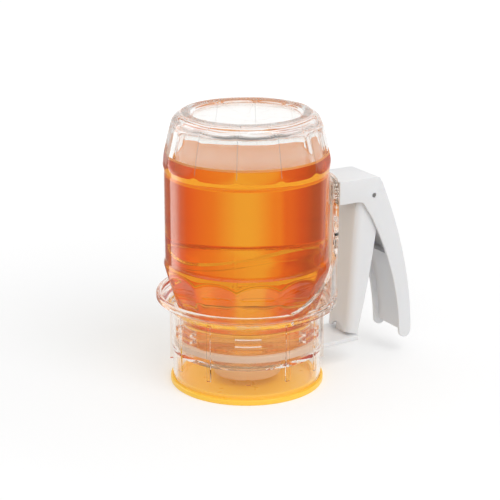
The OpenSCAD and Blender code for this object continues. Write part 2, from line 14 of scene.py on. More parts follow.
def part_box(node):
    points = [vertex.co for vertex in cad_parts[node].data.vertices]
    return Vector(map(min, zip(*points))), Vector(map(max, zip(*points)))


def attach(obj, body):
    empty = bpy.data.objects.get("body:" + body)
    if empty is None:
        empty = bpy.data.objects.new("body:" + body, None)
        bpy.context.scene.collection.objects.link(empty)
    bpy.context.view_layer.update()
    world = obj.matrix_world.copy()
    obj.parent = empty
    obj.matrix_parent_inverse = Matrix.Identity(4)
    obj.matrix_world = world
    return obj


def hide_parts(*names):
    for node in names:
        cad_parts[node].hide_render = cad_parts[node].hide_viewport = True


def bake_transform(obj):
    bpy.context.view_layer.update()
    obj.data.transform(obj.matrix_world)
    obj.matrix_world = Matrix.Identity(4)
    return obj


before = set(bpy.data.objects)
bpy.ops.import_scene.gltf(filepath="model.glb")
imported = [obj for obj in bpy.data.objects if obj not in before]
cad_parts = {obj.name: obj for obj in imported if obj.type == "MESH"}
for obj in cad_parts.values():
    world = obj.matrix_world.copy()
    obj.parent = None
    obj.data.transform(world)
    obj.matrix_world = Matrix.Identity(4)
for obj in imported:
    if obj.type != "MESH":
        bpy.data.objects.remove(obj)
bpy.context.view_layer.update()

MM = 0.001
LOG = logging.getLogger("honey_dispenser")
Point = tuple[float, float]
Spread = tuple[float, float, float]
Colour = tuple[float, float, float, float]
Stops = tuple[tuple[float, str], ...]

# Vertices nearer than this become one, in a new mesh and in a copy of a CAD node's.
MERGE = 2e-6
CAD_MERGE = 15 * MERGE
# Faces that turn less than the first are one flat face, and edges sharper than the second are rounded.
FLAT = math.radians(0.4)
CREASE = math.radians(38)
# Edges shorter than this, as those of small round holes, stay sharp.
SHORTEST_EDGE = 0.5 * MM
# The rounding of a corner takes no more than this share of a side.
FILLET_SHARE = 0.45
# Nearly all of a noise texture lies between these two.
NOISE_LOW, NOISE_HIGH = 0.3, 0.7
WHITE: Colour = (1.0, 1.0, 1.0, 1.0)


# --- small helpers ---------------------------------------------------------------------------


def linear(code: str) -> Colour:
    """Turns an sRGB hex colour into linear light.

    Args:
        code: the colour as six hex digits, such as "F4A032".
    Returns:
        Red, green, blue and an alpha of 1.
    """
    parts = [int(code[i:i + 2], 16) / 255 for i in (0, 2, 4)]
    red, green, blue = (c / 12.92 if c <= 0.04045 else ((c + 0.055) / 1.055) ** 2.4 for c in parts)
    return red, green, blue, 1.0


def add_node(
    tree: bpy.types.NodeTree, kind: str, values: dict | None = None, links: dict | None = None
) -> bpy.types.Node:
    """Adds one node with its settings and its links.

    Args:
        tree: the node tree that takes the node.
        kind: the node's type, such as "ShaderNodeBump".
        values: what its properties and free inputs are set to, by name.
        links: the output sockets that feed its inputs, by the input's name or place.
    Returns:
        The new node.
    """
    node = tree.nodes.new(kind)
    for name, value in (values or {}).items():
        if isinstance(name, str) and hasattr(node, name):
            setattr(node, name, value)
        else:
            node.inputs[name].default_value = value
    for name, source in (links or {}).items():
        tree.links.new(source, node.inputs[name])
    return node


def bare_material(name: str) -> bpy.types.Material:
    """Makes a material whose node tree is still empty.

    Args:
        name: its name.
    Returns:
        The new material.
    """
    made = bpy.data.materials.new(name)
    made.use_nodes = True
    made.node_tree.nodes.clear()
    return made


def curve(points: Sequence[Point], steps: int) -> list[Point]:
    """Runs a smooth line through points.

    Args:
        points: the points that it passes.
        steps: how many pieces each gap between two of them gets.
    Returns:
        The points of the smooth line.
    """
    last = len(points) - 1
    line: list[Point] = []
    for i in range(last):
        a, b, c, d = (points[max(0, min(last, k))] for k in (i - 1, i, i + 1, i + 2))
        for j in range(steps):
            t = j / steps
            line.append(tuple(
                0.5 * (2 * q + (r - p) * t + (2 * p - 5 * q + 4 * r - s) * t * t
                       + (3 * q - p - 3 * r + s) * t ** 3)
                for p, q, r, s in zip(a, b, c, d)))
    line.append(points[last])
    return line


def filleted(points: Sequence[Point], radius: float, steps: int = 3) -> list[Point]:
    """Rounds the corners of a closed outline, other than those on the axis.

    Args:
        points: the outline's corners.
        radius: how far from each corner its rounding starts, where the sides are long enough.
        steps: how many pieces each rounding has.
    Returns:
        The rounded outline.
    """
    line: list[Point] = []
    for i, corner in enumerate(points):
        if corner[0] == 0:
            line.append(corner)
            continue
        here = Vector(corner)
        before, after = Vector(points[i - 1]) - here, Vector(points[(i + 1) % len(points)]) - here
        first = here + before * min(radius / before.length, FILLET_SHARE)
        last = here + after * min(radius / after.length, FILLET_SHARE)
        for j in range(steps + 1):
            t = j / steps
            line.append(tuple(first * (1 - t) ** 2 + here * 2 * t * (1 - t) + last * t * t))
    return line


def radius_at(line: Sequence[Point], height: float) -> float:
    """Gives the radius of a line at a height.

    Args:
        line: (radius, height) points, from the lowest up.
        height: the height.
    Returns:
        The radius there, or 0 off the line's ends.
    """
    for (r0, z0), (r1, z1) in zip(line, line[1:]):
        if z0 <= height < z1:
            return r0 + (r1 - r0) * (height - z0) / (z1 - z0)
    return 0.0


def soft_min(a: float, b: float, width: float) -> float:
    """Gives the smaller of two lengths, with the corner between them rounded over width."""
    share = max(width - abs(a - b), 0.0) / width
    return min(a, b) - share * share * width / 4


def spun(profile: Sequence[Point], steps: int, start: float = 0.0) -> bmesh.types.BMesh:
    """Spins a closed profile round the Z axis.

    Args:
        profile: (radius, height) points in millimetres.
        steps: how many steps the full turn has.
        start: the angle at which it starts, in degrees.
    Returns:
        The spun bmesh in metres, with its doubles merged and its normals pointing outwards.
    """
    bm = bmesh.new()
    verts = [bm.verts.new((r * MM, 0, z * MM)) for r, z in profile]
    edges = [bm.edges.new(pair) for pair in zip(verts, verts[1:] + verts[:1])]
    bmesh.ops.rotate(bm, verts=verts, cent=(0, 0, 0), matrix=Matrix.Rotation(math.radians(start), 3, "Z"))
    bmesh.ops.spin(
        bm, geom=verts + edges, cent=(0, 0, 0), axis=(0, 0, 1), angle=2 * math.pi, steps=steps,
        use_merge=True)
    bmesh.ops.remove_doubles(bm, verts=bm.verts, dist=MERGE)
    bmesh.ops.recalc_face_normals(bm, faces=bm.faces)
    return bm


def linked(bm: bmesh.types.BMesh, name: str) -> bpy.types.Object:
    """Makes an object of a bmesh and puts it into the scene, at the origin.

    Args:
        bm: the bmesh, which is freed.
        name: the object's name.
    Returns:
        The new object.
    """
    mesh = bpy.data.meshes.new(name)
    bm.to_mesh(mesh)
    bm.free()
    made = bpy.data.objects.new(name, mesh)
    bpy.context.scene.collection.objects.link(made)
    return made


def finished(bm: bmesh.types.BMesh, name: str, finish: "Finish", sharp: float = 30.0) -> bpy.types.Object:
    """Makes a piece of a bmesh and dresses it.

    Args:
        bm: the bmesh, which is freed.
        name: the piece's name.
        finish: what its surface is.
        sharp: the angle in degrees past which an edge stays crisp.
    Returns:
        The new piece.
    """
    piece = linked(bm, name)
    piece.data.shade_smooth()
    piece.data.set_sharp_from_angle(angle=math.radians(sharp))
    piece.data.materials.append(finish.material())
    return piece


class Body(Enum):
    """The bodies that pieces move with."""

    TRAY = "drip_tray"
    DISPENSER = "dispenser"
    TRIGGER = "trigger"
    GATE = "slide_gate"
    JAR = "honey_jar"


def placed(piece: bpy.types.Object, body: Body, node: str) -> None:
    """Puts a piece on its body in place of a CAD node.

    Args:
        piece: the finished piece.
        body: the body that it moves with.
        node: the CAD node that it stands for.
    """
    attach(piece, body.value)
    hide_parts(node)
    LOG.info("%s: %d faces on %s", piece.name, len(piece.data.polygons), body.value)


def dressed(node: str, finish: "Finish") -> None:
    """Gives a CAD node, whose shape stays, its material.

    Args:
        node: the CAD node.
        finish: what its surface is.
    """
    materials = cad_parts[node].data.materials
    materials.clear()
    materials.append(finish.material())
    LOG.info("%s: dressed in %s", node, finish.name)


def softened(node: str, radius: float) -> bmesh.types.BMesh:
    """Copies a CAD node's mesh and rounds its sharp edges, as a mould's edges are.

    Args:
        node: the CAD node.
        radius: the radius of the edges, in millimetres.
    Returns:
        The rounded copy.
    """
    bm = bmesh.new()
    bm.from_mesh(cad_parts[node].data)
    bmesh.ops.remove_doubles(bm, verts=bm.verts, dist=CAD_MERGE)
    bmesh.ops.dissolve_limit(bm, angle_limit=FLAT, verts=bm.verts, edges=bm.edges, delimit={"NORMAL"})
    edges = [
        e for e in bm.edges
        if e.is_manifold and e.calc_face_angle() > CREASE and e.calc_length() > SHORTEST_EDGE]
    bmesh.ops.bevel(
        bm, geom=edges, offset=radius * MM, offset_type="OFFSET", affect="EDGES", segments=3, profile=0.5,
        material=-1, clamp_overlap=False)
    bmesh.ops.remove_doubles(bm, verts=bm.verts, dist=MERGE)
    return bm


# --- finishes --------------------------------------------------------------------------------


@dataclass(frozen=True)
class Finish:
    """A surface, named for its real material."""

    name: str
    colour: str
    roughness: float
    ior: float

    def material(self) -> bpy.types.Material:
        """Gives the material.

        Returns:
            The material, which is made once.
        """
        made = bpy.data.materials.get(self.name)
        if made is None:
            made = bare_material(self.name)
            self.build(made.node_tree)
        return made

    def shader(self, tree: bpy.types.NodeTree, values: dict, links: dict | None = None) -> bpy.types.Node:
        """Adds the Principled shader with the finish's own colour, roughness and IOR.

        Args:
            tree: the material's node tree.
            values: further values for its sockets.
            links: what feeds its sockets.
        Returns:
            The shader node.
        """
        own = {"Base Color": linear(self.colour), "Roughness": self.roughness, "IOR": self.ior}
        return add_node(tree, "ShaderNodeBsdfPrincipled", {**own, **values}, links)

    def bump(
        self, tree: bpy.types.NodeTree, grain: float, height: float, detail: float = 2.0
    ) -> bpy.types.Node:
        """Adds a bump from noise.

        Args:
            tree: the material's node tree.
            grain: the size of one grain, in millimetres.
            height: how high it stands, in millimetres.
            detail: how many finer layers it has.
        Returns:
            The bump node.
        """
        place = add_node(tree, "ShaderNodeTexCoord")
        noise = add_node(
            tree, "ShaderNodeTexNoise", {"Scale": 1 / (grain * MM), "Detail": detail},
            {"Vector": place.outputs["Object"]})
        return add_node(
            tree, "ShaderNodeBump", {"Strength": 1.0, "Distance": height * MM},
            {"Height": noise.outputs["Fac"]})

    def patches(self, tree: bpy.types.NodeTree, size: float) -> bpy.types.Node:
        """Adds slow noise.

        Args:
            tree: the material's node tree.
            size: the size of its patches, in millimetres.
        Returns:
            The noise node.
        """
        place = add_node(tree, "ShaderNodeTexCoord")
        return add_node(
            tree, "ShaderNodeTexNoise", {"Scale": 1 / (size * MM), "Detail": 1.0},
            {"Vector": place.outputs["Object"]})

    def build(self, tree: bpy.types.NodeTree) -> None:
        """Fills the material's node tree."""
        raise NotImplementedError


@dataclass(frozen=True)
class ClearFinish(Finish):
    """Something clear, which lets lamps and soft light straight through to what stands in it."""

    wave: float
    wave_height: float
    lamp_tint: str
    clarity: float = 1.0

    def build(self, tree: bpy.types.NodeTree) -> None:
        """Fills the tree: a clear shader with slow waves, which lets lamps and soft light through.

        Args:
            tree: the material's node tree.
        """
        waves = self.bump(tree, self.wave, self.wave_height, 0.0)
        shader = self.shader(tree, {"Transmission Weight": self.clarity}, {"Normal": waves.outputs[0]})
        path = add_node(tree, "ShaderNodeLightPath")
        through = add_node(tree, "ShaderNodeBsdfTransparent", {"Color": linear(self.lamp_tint)})
        mix = shader
        for ray in ("Is Diffuse Ray", "Is Shadow Ray"):
            mix = add_node(
                tree, "ShaderNodeMixShader",
                links={0: path.outputs[ray], 1: mix.outputs[0], 2: through.outputs[0]})
        add_node(tree, "ShaderNodeOutputMaterial", links={"Surface": mix.outputs[0]})


@dataclass(frozen=True)
class HoneyFinish(Finish):
    """Clear amber honey: the deeper the look into it, the redder it is."""

    depth_colour: str
    depth: float
    soft_light: str
    soft_level: float

    def build(self, tree: bpy.types.NodeTree) -> None:
        """Fills the tree: a clear shader, with the colour in the volume behind it.

        Dull surfaces near the honey see it as a plain warm glow, which is calmer than the light that
        would find its way through the volume.

        Args:
            tree: the material's node tree.
        """
        shader = self.shader(tree, {"Transmission Weight": 1.0})
        path = add_node(tree, "ShaderNodeLightPath")
        through = add_node(tree, "ShaderNodeBsdfTransparent", {"Color": linear(self.colour)})
        soft = add_node(
            tree, "ShaderNodeEmission", {"Color": linear(self.soft_light), "Strength": self.soft_level})
        mix = shader
        for ray, other in (("Is Diffuse Ray", soft), ("Is Shadow Ray", through)):
            mix = add_node(
                tree, "ShaderNodeMixShader",
                links={0: path.outputs[ray], 1: mix.outputs[0], 2: other.outputs[0]})
        loss = [-math.log(c) / (self.depth * MM) for c in linear(self.depth_colour)[:3]]
        density = max(loss)
        tint = tuple(1 - one / density for one in loss) + (1.0,)
        volume = add_node(tree, "ShaderNodeVolumeAbsorption", {"Color": tint, "Density": density})
        add_node(
            tree, "ShaderNodeOutputMaterial",
            links={"Surface": mix.outputs[0], "Volume": volume.outputs[0]})


@dataclass(frozen=True)
class SkinFinish(Finish):
    """The skin that honey gets from the bubbles that rise in it. Lengths are in millimetres."""

    bubble: float
    height: float
    crowd_colour: str
    crowd_size: float = 14.0
    glow: float = 0.3
    glow_depth: float = 3.0
    glow_spread: Spread = (1.0, 0.5, 0.2)

    def build(self, tree: bpy.types.NodeTree) -> None:
        """Fills the tree: bubbles side by side, a little paler where they crowd.

        Args:
            tree: the material's node tree.
        """
        place = add_node(tree, "ShaderNodeTexCoord")
        cells = add_node(
            tree, "ShaderNodeTexVoronoi", {"Scale": 1 / (self.bubble * MM)},
            {"Vector": place.outputs["Object"]})
        bump = add_node(
            tree, "ShaderNodeBump", {"Strength": 1.0, "Distance": self.height * MM},
            {"Height": cells.outputs["Distance"]})
        crowd = self.patches(tree, self.crowd_size)
        tone = add_node(
            tree, "ShaderNodeMix",
            {"data_type": "RGBA", 6: linear(self.colour), 7: linear(self.crowd_colour)},
            {0: crowd.outputs["Fac"]})
        shader = self.shader(
            tree, {"Subsurface Weight": self.glow, "Subsurface Radius": self.glow_spread,
                   "Subsurface Scale": self.glow_depth * MM},
            {"Normal": bump.outputs[0], "Base Color": tone.outputs[2]})
        add_node(tree, "ShaderNodeOutputMaterial", links={"Surface": shader.outputs[0]})


@dataclass(frozen=True)
class MouldedFinish(Finish):
    """An opaque moulding: the fine grain of its mould, and a little light under its skin.

    Lengths are in millimetres. The patches differ from its roughness by glossier and duller. Its painted
    glow is how strongly it shines in its own colour, though it is no lamp.
    """

    grain: float
    grain_height: float
    glow: float
    painted_glow: float = 0.0
    glow_depth: float = 1.0
    glow_spread: Spread = (1.0, 0.8, 0.6)
    patch: float = 9.0
    glossier: float = 0.03
    duller: float = 0.04

    def build(self, tree: bpy.types.NodeTree) -> None:
        """Fills the tree: fine grain in the gloss, and roughness that varies from place to place.

        Args:
            tree: the material's node tree.
        """
        grain = self.bump(tree, self.grain, self.grain_height)
        patches = self.patches(tree, self.patch)
        rough = add_node(
            tree, "ShaderNodeMapRange",
            {"From Min": NOISE_LOW, "From Max": NOISE_HIGH, "To Min": self.roughness - self.glossier,
             "To Max": self.roughness + self.duller},
            {"Value": patches.outputs["Fac"]})
        # the painted glow: the moulding shines in its own colour, as a lamp would
        shader = self.shader(
            tree, {"Subsurface Weight": self.glow, "Subsurface Radius": self.glow_spread,
                   "Subsurface Scale": self.glow_depth * MM,
                   "Emission Color": linear(self.colour), "Emission Strength": self.painted_glow},
            {"Normal": grain.outputs[0], "Roughness": rough.outputs[0]})
        add_node(tree, "ShaderNodeOutputMaterial", links={"Surface": shader.outputs[0]})


@dataclass(frozen=True)
class DrawnSteel(Finish):
    """Stainless wire and rod, with fine lines along the way that it was drawn, in millimetres."""

    line: float = 0.25
    line_height: float = 0.01
    stretch: float = 0.06

    def build(self, tree: bpy.types.NodeTree) -> None:
        """Fills the tree: a metal with lines across the handle.

        Args:
            tree: the material's node tree.
        """
        place = add_node(tree, "ShaderNodeTexCoord")
        along = add_node(
            tree, "ShaderNodeMapping", {"Scale": (1.0, self.stretch, 1.0)},
            {"Vector": place.outputs["Object"]})
        noise = add_node(
            tree, "ShaderNodeTexNoise", {"Scale": 1 / (self.line * MM), "Detail": 2.0},
            {"Vector": along.outputs[0]})
        bump = add_node(
            tree, "ShaderNodeBump", {"Strength": 1.0, "Distance": self.line_height * MM},
            {"Height": noise.outputs["Fac"]})
        shader = self.shader(tree, {"Metallic": 1.0}, {"Normal": bump.outputs[0]})
        add_node(tree, "ShaderNodeOutputMaterial", links={"Surface": shader.outputs[0]})


# Soda-lime glass, pressed and fire-polished: sharp highlights that sway over slow waves 14 mm long.
JAR_GLASS = ClearFinish(
    "pressed_glass", "FCFDFC", 0.0, 1.52, wave=14.0, wave_height=0.03, lamp_tint="FCFCFB")
# Honey where it lies on the glass: the step from 1.52 to honey's 1.49 hardly bends the light, and fine
# crystals and pollen make it a little cloudy, so that it glows amber in front of what lies behind it.
WET_GLASS = ClearFinish(
    "honey_on_glass", "FFB93C", 0.0, 1.02, wave=14.0, wave_height=0.01, lamp_tint="FCFCFC", clarity=0.88)
# The glass on its standing ring, where it is scuffed, and on the upper panels' arrises, where the grey is
# painted shade for the thin dark lines that the light makes there: a little grey, and mostly clear.
ARRIS_SHADE_AND_SCUFF_GLASS = ClearFinish(
    "glass_scuffs_and_painted_arris_shade", "D2D5D4", 0.1, 1.52, wave=2.0, wave_height=0.04, lamp_tint="F0F0F0", clarity=0.85)
# Styrene acrylonitrile, moulded in a polished tool: clear and faintly warm. It bends light less than the
# real 1.57, so that its edges stay as calm as they look in the photograph.
CUP_PLASTIC = ClearFinish(
    "moulded_clear_plastic", "FBF3EC", 0.0, 1.4, wave=18.0, wave_height=0.015, lamp_tint="FCFAF8")
# The clear honey behind its cloudy skin on the glass: 89 mm of it turn white into its depth colour.
# For dull surfaces near it, the honey shows as a painted warm glow of its own, soft_light at soft_level,
# though it is no lamp.
HONEY = HoneyFinish(
    "amber_honey", "FFFBF0", 0.0, 1.01, depth_colour="FDECC0", depth=89.0, soft_light="F6E4D2",
    soft_level=0.72)
# The honey's face in the jar: a film of fine bubbles, 0.9 mm across, which rise and stay there.
HONEY_SKIN = SkinFinish(
    "bubble_film_on_honey", "EA8F42", 0.12, 1.49, bubble=0.9, height=0.02, crowd_colour="EE9C54")
# Polypropylene from a finely eroded tool: satin. Its grain of 0.35 mm is coarser than the real one, so
# that it shows.
WHITE_PLASTIC = MouldedFinish(
    "moulded_white_plastic", "EDEDEE", 0.38, 1.49, grain=0.35, grain_height=0.006, glow=0.12)
# The same with a yellow pigment, and glossier. It is thin, and a faint painted glow of its own stands in
# for the light that the white table gives it from below.
YELLOW_PLASTIC = MouldedFinish(
    "moulded_yellow_plastic", "F6C442", 0.3, 1.49, grain=0.35, grain_height=0.004, glow=0.25, painted_glow=0.2)
# Polypropylene of the valve: milky, with a warm cast that is painted honey-tinted light, which it gets
# under the cup's floor.
HONEY_LIT_PLASTIC = MouldedFinish(
    "moulded_plastic_in_painted_honey_light", "EFCDA6", 0.38, 1.49, grain=0.35, grain_height=0.006, glow=0.2)
# Silicone rubber: matt, a little see-through at its edges, and painted warm for the honey-tinted light
# that it gets beside the honey.
SILICONE = MouldedFinish(
    "white_silicone", "EBCFB8", 0.5, 1.43, grain=0.5, grain_height=0.006, glow=0.3)
# Stainless spring steel, drawn: grey, with lines 0.25 mm apart, coarser than the real ones, so that
# they show.
STEEL = DrawnSteel("drawn_stainless_steel", "D2D1CF", 0.32, 1.5)


# --- the jar and its honey -------------------------------------------------------------------


class GlassFace(Enum):
    """What a face of the jar is, by the place of its finish among the jar's materials."""

    CLEAR = 0
    WET = 1
    SCUFF_AND_PAINTED_SHADE = 2


@dataclass
class HoneyJar:
    """The upturned jar with its honey. Sizes are in millimetres, and panel angles in degrees."""

    radius: float = 47.5
    mouth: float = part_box("honey_jar")[0].z / MM
    top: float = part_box("honey_jar")[1].z / MM
    wall: float = 2.8
    belly: float = 1.1
    steps: int = 480
    curve_steps: int = 3
    # the neck, its bead as (past the neck, above the mouth), and the ridges of its thread
    neck: float = 37.8
    neck_wall: float = 2.6
    neck_height: float = 9.0
    bead: tuple[Point, ...] = (
        (-2.2, 0.15), (-1.7, 0), (-0.2, 0), (0.3, 0.12), (0.6, 0.5), (0.6, 2.0), (0.35, 2.4), (0, 2.7))
    thread: float = 1.7
    thread_low: float = 2.9
    thread_high: float = 4.8
    thread_flank: float = 0.3
    ridges: int = 6
    ridge_half: float = 0.23
    near: float = 0.1
    # the side: the shoulder as (share of the step from neck to radius, above the mouth), and the rest as
    # (bellies past the radius, above the mouth) and (bellies past the radius, under the top)
    shoulder: tuple[Point, ...] = (
        (0, 13), (0.02, 14.8), (0.14, 17.2), (0.35, 20.8), (0.57, 25.6), (0.71, 29.6), (0.81, 33.7),
        (0.93, 37))
    lower: tuple[Point, ...] = ((0.6, 39.6), (1, 43), (0.6, 46.8), (0, 49.2), (-0.12, 50.6), (0, 52.4))
    upper: tuple[Point, ...] = (
        (0, 38), (-0.15, 35.6), (0, 33.6), (0.5, 30), (0.65, 27), (0.4, 23.4), (-0.2, 19.8),
        (-1.1, 16.3), (-2, 12.8), (-2.9, 9.3))
    # the heel as (inside the radius, under the top), the standing ring and its knurling, and the dished
    # base as (inside the ring, under the top)
    heel: tuple[Point, ...] = ((4.4, 5.8), (6, 3.3), (8.2, 1.2), (10.6, 0.3))
    ring_inset: float = 12.9
    ring_depth: float = 0.9
    ring_inner: float = 31.5
    ring_outer: float = 37.2
    ring_edge: float = 0.3
    knurl: float = 0.42
    knurl_steps: int = 4
    dish: tuple[Point, ...] = ((0.8, 0.05), (1.8, 0.5), (2.8, 1.3))
    punt: float = 2.6
    crown: float = 0.4
    # the inside of the base
    base_wall: float = 1.6
    base_crown: float = 0.6
    corner_inset: float = 9.6
    flat_inset: float = 16.0
    # the flat panels below and above the waist, and the arrises between them
    panels: int = 12
    panel_turn: float = 8.2
    low_start: float = 18.4
    low_height: float = 27.8
    low_out: float = 3.2
    low_slant: float = 16.5
    low_cut: float = 0.8
    high_start: float = 29.0
    high_end: float = 1.0
    high_out: float = 0.7
    high_slant: float = 12.4
    high_cut: float = 2.0
    arris: float = 0.55
    # heights under the top between which the upper arrises get the painted shade
    arris_shade_band: Point = (5.5, 28.0)
    # the seam of the mould
    seam: float = math.radians(-38)
    seam_height: float = 0.06
    seam_from: float = 0.5
    # the honey, with its edge as (past the glass, above its level)
    level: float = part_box("honey")[1].z / MM
    outlet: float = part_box("honey")[0].z / MM
    plug: float = 7.9
    pool_floor: float = 3.6
    pool_ledge: float = 1.2
    pool_out: float = 1.9
    bite: float = 0.15
    climb: tuple[Point, ...] = ((0, 0.9), (-0.5, 0.45), (-1.3, 0.12), (-3, 0))

    def body(self, inset: float) -> list[Point]:
        """Gives the points of the jar's side, from neck to heel.

        Args:
            inset: how far inside the outer face they lie.
        Returns:
            (radius, height) points from the neck up.
        """
        step = self.radius - self.neck
        points = [(self.neck + s * step - inset, self.mouth + h) for s, h in self.shoulder]
        points += [(self.radius + s * self.belly - inset, self.mouth + h) for s, h in self.lower]
        points += [(self.radius + s * self.belly - inset, self.top - h) for s, h in self.upper]
        return points

    def inside(self, inset: float) -> list[Point]:
        """Gives the inner face.

        Args:
            inset: how far inside the glass's own inner face the line lies.
        Returns:
            (radius, height) points from the neck up to the middle of the base.
        """
        base = self.top - self.punt - self.wall - self.base_wall
        return curve(self.body(self.wall + inset) + [
            (self.radius - self.corner_inset, base + self.base_crown),
            (self.radius - self.flat_inset, base - inset),
            (0, base - self.base_crown - inset)], self.curve_steps)

    def outside(self) -> list[Point]:
        """Gives the outer face.

        Returns:
            (radius, height) points from the neck up to the standing ring.
        """
        heel = [(self.radius - x, self.top - h) for x, h in self.heel]
        ring = [(self.radius - self.ring_inset, self.top)]
        return curve(self.body(0) + heel + ring, self.curve_steps)

    def underside(self) -> list[Point]:
        """Gives the dished face of the base.

        Returns:
            (radius, height) points from the standing ring to the middle.
        """
        ring, dished = self.radius - self.ring_inset, self.top - self.punt
        edge = [(ring - x, self.top - h) for x, h in self.dish]
        return curve(
            edge + [(ring - 3.8, dished + self.crown), (ring - 6, dished), (0, dished - self.crown)],
            self.curve_steps)

    def panel_limit(self, height: float) -> float | None:
        """Gives how far from the axis the flat panels lie.

        Args:
            height: the height above the table.
        Returns:
            The panels' distance at that height, or None where there are none.
        """
        low, high = self.mouth + self.low_start, self.top - self.high_start
        if low <= height <= low + self.low_height:
            start = self.neck + self.low_out - self.low_cut
            return start + (height - low) * math.tan(math.radians(self.low_slant))
        if high <= height <= self.top - self.high_end:
            start = self.radius + self.belly + self.high_out - self.high_cut
            return start - (height - high) * math.tan(math.radians(self.high_slant))
        return None

    def past_arris(self, place: Vector) -> float:
        """Gives the angle from the arris before a place to it, in radians."""
        pitch = 2 * math.pi / self.panels
        return (math.atan2(place.y, place.x) - math.radians(self.panel_turn) + pitch / 2) % pitch

    def on_ridge(self, across: float, turn: float, height: float) -> bool:
        """Tells whether a vertex of the neck belongs to a ridge of the thread.

        Args:
            across: its distance from the axis.
            turn: its angle round the axis, in radians.
            height: its height above the mouth.
        Returns:
            True on a ridge.
        """
        gap = 2 * math.pi / self.ridges
        away = (turn + gap / 2) % gap - gap / 2
        low, high = self.thread_low + self.near, self.thread_high - self.near
        return abs(across - self.neck) < self.near and low < height < high and abs(away) < self.ridge_half

    def on_seam(self, across: float, turn: float) -> bool:
        """Tells whether a vertex lies on the seam of the mould's two halves, by distance and angle."""
        off_seam = abs(abs(turn - self.seam) - math.pi / 2)
        return off_seam < math.pi / self.steps and across > self.neck + self.seam_from

    def press_panels(self, bm: bmesh.types.BMesh) -> None:
        """Presses the flat panels into the outer face, rounds their arrises and raises the thread.

        Args:
            bm: the spun jar, whose vertices it moves.
        """
        pitch = 2 * math.pi / self.panels
        middle = [(r - self.wall / 2, z) for r, z in self.outside()]
        inner: dict[Point, bool] = {}
        for v in bm.verts:
            across, height = math.hypot(v.co.x, v.co.y) / MM, v.co.z / MM
            if across < 1:
                continue
            turn = math.atan2(v.co.y, v.co.x)
            away = self.past_arris(v.co) - pitch / 2
            limit = self.panel_limit(height)
            new = across
            if limit is not None:
                key = (round(across, 2), round(height, 2))
                if key not in inner:
                    inner[key] = across < radius_at(middle, height)
                if not inner[key]:
                    panel, next_panel = limit / math.cos(away), limit / math.cos(pitch - abs(away))
                    new = soft_min(across, soft_min(panel, next_panel, self.arris), self.arris)
            if self.on_ridge(across, turn, height - self.mouth):
                new = self.neck + self.thread
            if self.on_seam(across, turn):
                new += self.seam_height
            v.co.x *= new / across
            v.co.y *= new / across

    def stipple(self, bm: bmesh.types.BMesh) -> None:
        """Knurls the standing ring, on which such a jar is stippled so that it doesn't slip.

        Args:
            bm: the pressed jar, whose vertices it moves.
        """
        for v in bm.verts:
            across = math.hypot(v.co.x, v.co.y) / MM
            if self.top - v.co.z / MM < self.ring_depth and self.ring_inner < across < self.ring_outer:
                step = round(math.atan2(v.co.y, v.co.x) / (2 * math.pi) * self.steps)
                if step % self.knurl_steps < self.knurl_steps / 2:
                    v.co.z -= self.knurl * MM

    def kind(self, face: bmesh.types.BMFace) -> GlassFace:
        """Tells what a face of the glass is.

        Args:
            face: a face of the finished shape.
        Returns:
            Scuffed on the ring, darkened by painted shade on the upper arrises, wet where honey lies, and
            clear elsewhere.
        """
        middle = face.calc_center_median()
        across, height = middle.xy.length, middle.z / MM
        under = self.top - height
        inwards = face.normal.x * middle.x + face.normal.y * middle.y < -0.1 * across
        beside_arris = self.past_arris(middle) < 2 * math.pi / self.steps
        # a thin band beside each upper arris takes the painted shade
        on_arris = self.arris_shade_band[0] < under < self.arris_shade_band[1] and not inwards and beside_arris
        ring_outer = self.ring_outer - self.ring_edge
        on_ring = under < self.ring_depth and self.ring_inner < across / MM < ring_outer
        if on_arris or on_ring:
            return GlassFace.SCUFF_AND_PAINTED_SHADE
        wet = inwards and height - self.mouth > 0.5 and height < self.level
        return GlassFace.WET if wet else GlassFace.CLEAR

    def glass(self) -> None:
        """Builds the glass and puts it on its body."""
        profile = [(self.neck + x, self.mouth + h) for x, h in self.bead]
        profile += [(self.neck, self.mouth + h) for h in (
            self.thread_low, self.thread_low + self.thread_flank, self.thread_high - self.thread_flank,
            self.thread_high, self.neck_height)]
        profile += self.outside()
        profile += self.underside()
        profile += self.inside(0)[::-1]
        bore = self.neck - self.neck_wall
        profile += [(bore, self.mouth + self.neck_height), (bore, self.mouth + 0.6)]
        bm = spun(profile, self.steps, self.panel_turn)
        self.press_panels(bm)
        self.stipple(bm)
        bm.normal_update()
        for face in bm.faces:
            face.material_index = self.kind(face).value
        piece = finished(bm, "jar_glass", JAR_GLASS, 50)
        piece.data.materials.append(WET_GLASS.material())
        piece.data.materials.append(ARRIS_SHADE_AND_SCUFF_GLASS.material())
        placed(piece, Body.JAR, "honey_jar")

    def honey(self) -> None:
        """Builds the honey, which reaches a little into the glass, so that no air shows between them."""
        wall = [p for p in self.inside(-self.bite) if p[1] < self.level - 0.4]
        floor, ledge = self.mouth - self.pool_floor, self.mouth - self.pool_ledge
        bore, pool = self.neck - self.neck_wall + self.bite, self.neck + self.pool_out
        profile = [(0, self.outlet), (self.plug, self.outlet), (self.plug, floor - 0.3),
                   (pool - 0.3, floor + 0.1), (pool, floor + 0.4), (pool, ledge - 0.1),
                   (bore, ledge - 0.1), (bore, self.mouth + self.neck_height)]
        profile += wall
        # the honey climbs a little where it meets the glass
        profile += [(wall[-1][0] + x, self.level + h) for x, h in self.climb]
        profile += [(0, self.level)]
        bm = spun(profile, self.steps // 2)
        for face in bm.faces:
            face.material_index = int(face.calc_center_median().z / MM > self.level - 0.05)
        piece = finished(bm, "honey_fill", HONEY, 40)
        piece.data.materials.append(HONEY_SKIN.material())
        placed(piece, Body.JAR, "honey")

    def build(self) -> None:
        """Builds the jar and its filling."""
        self.glass()
        self.honey()


# --- the cup, its seals and the valve --------------------------------------------------------


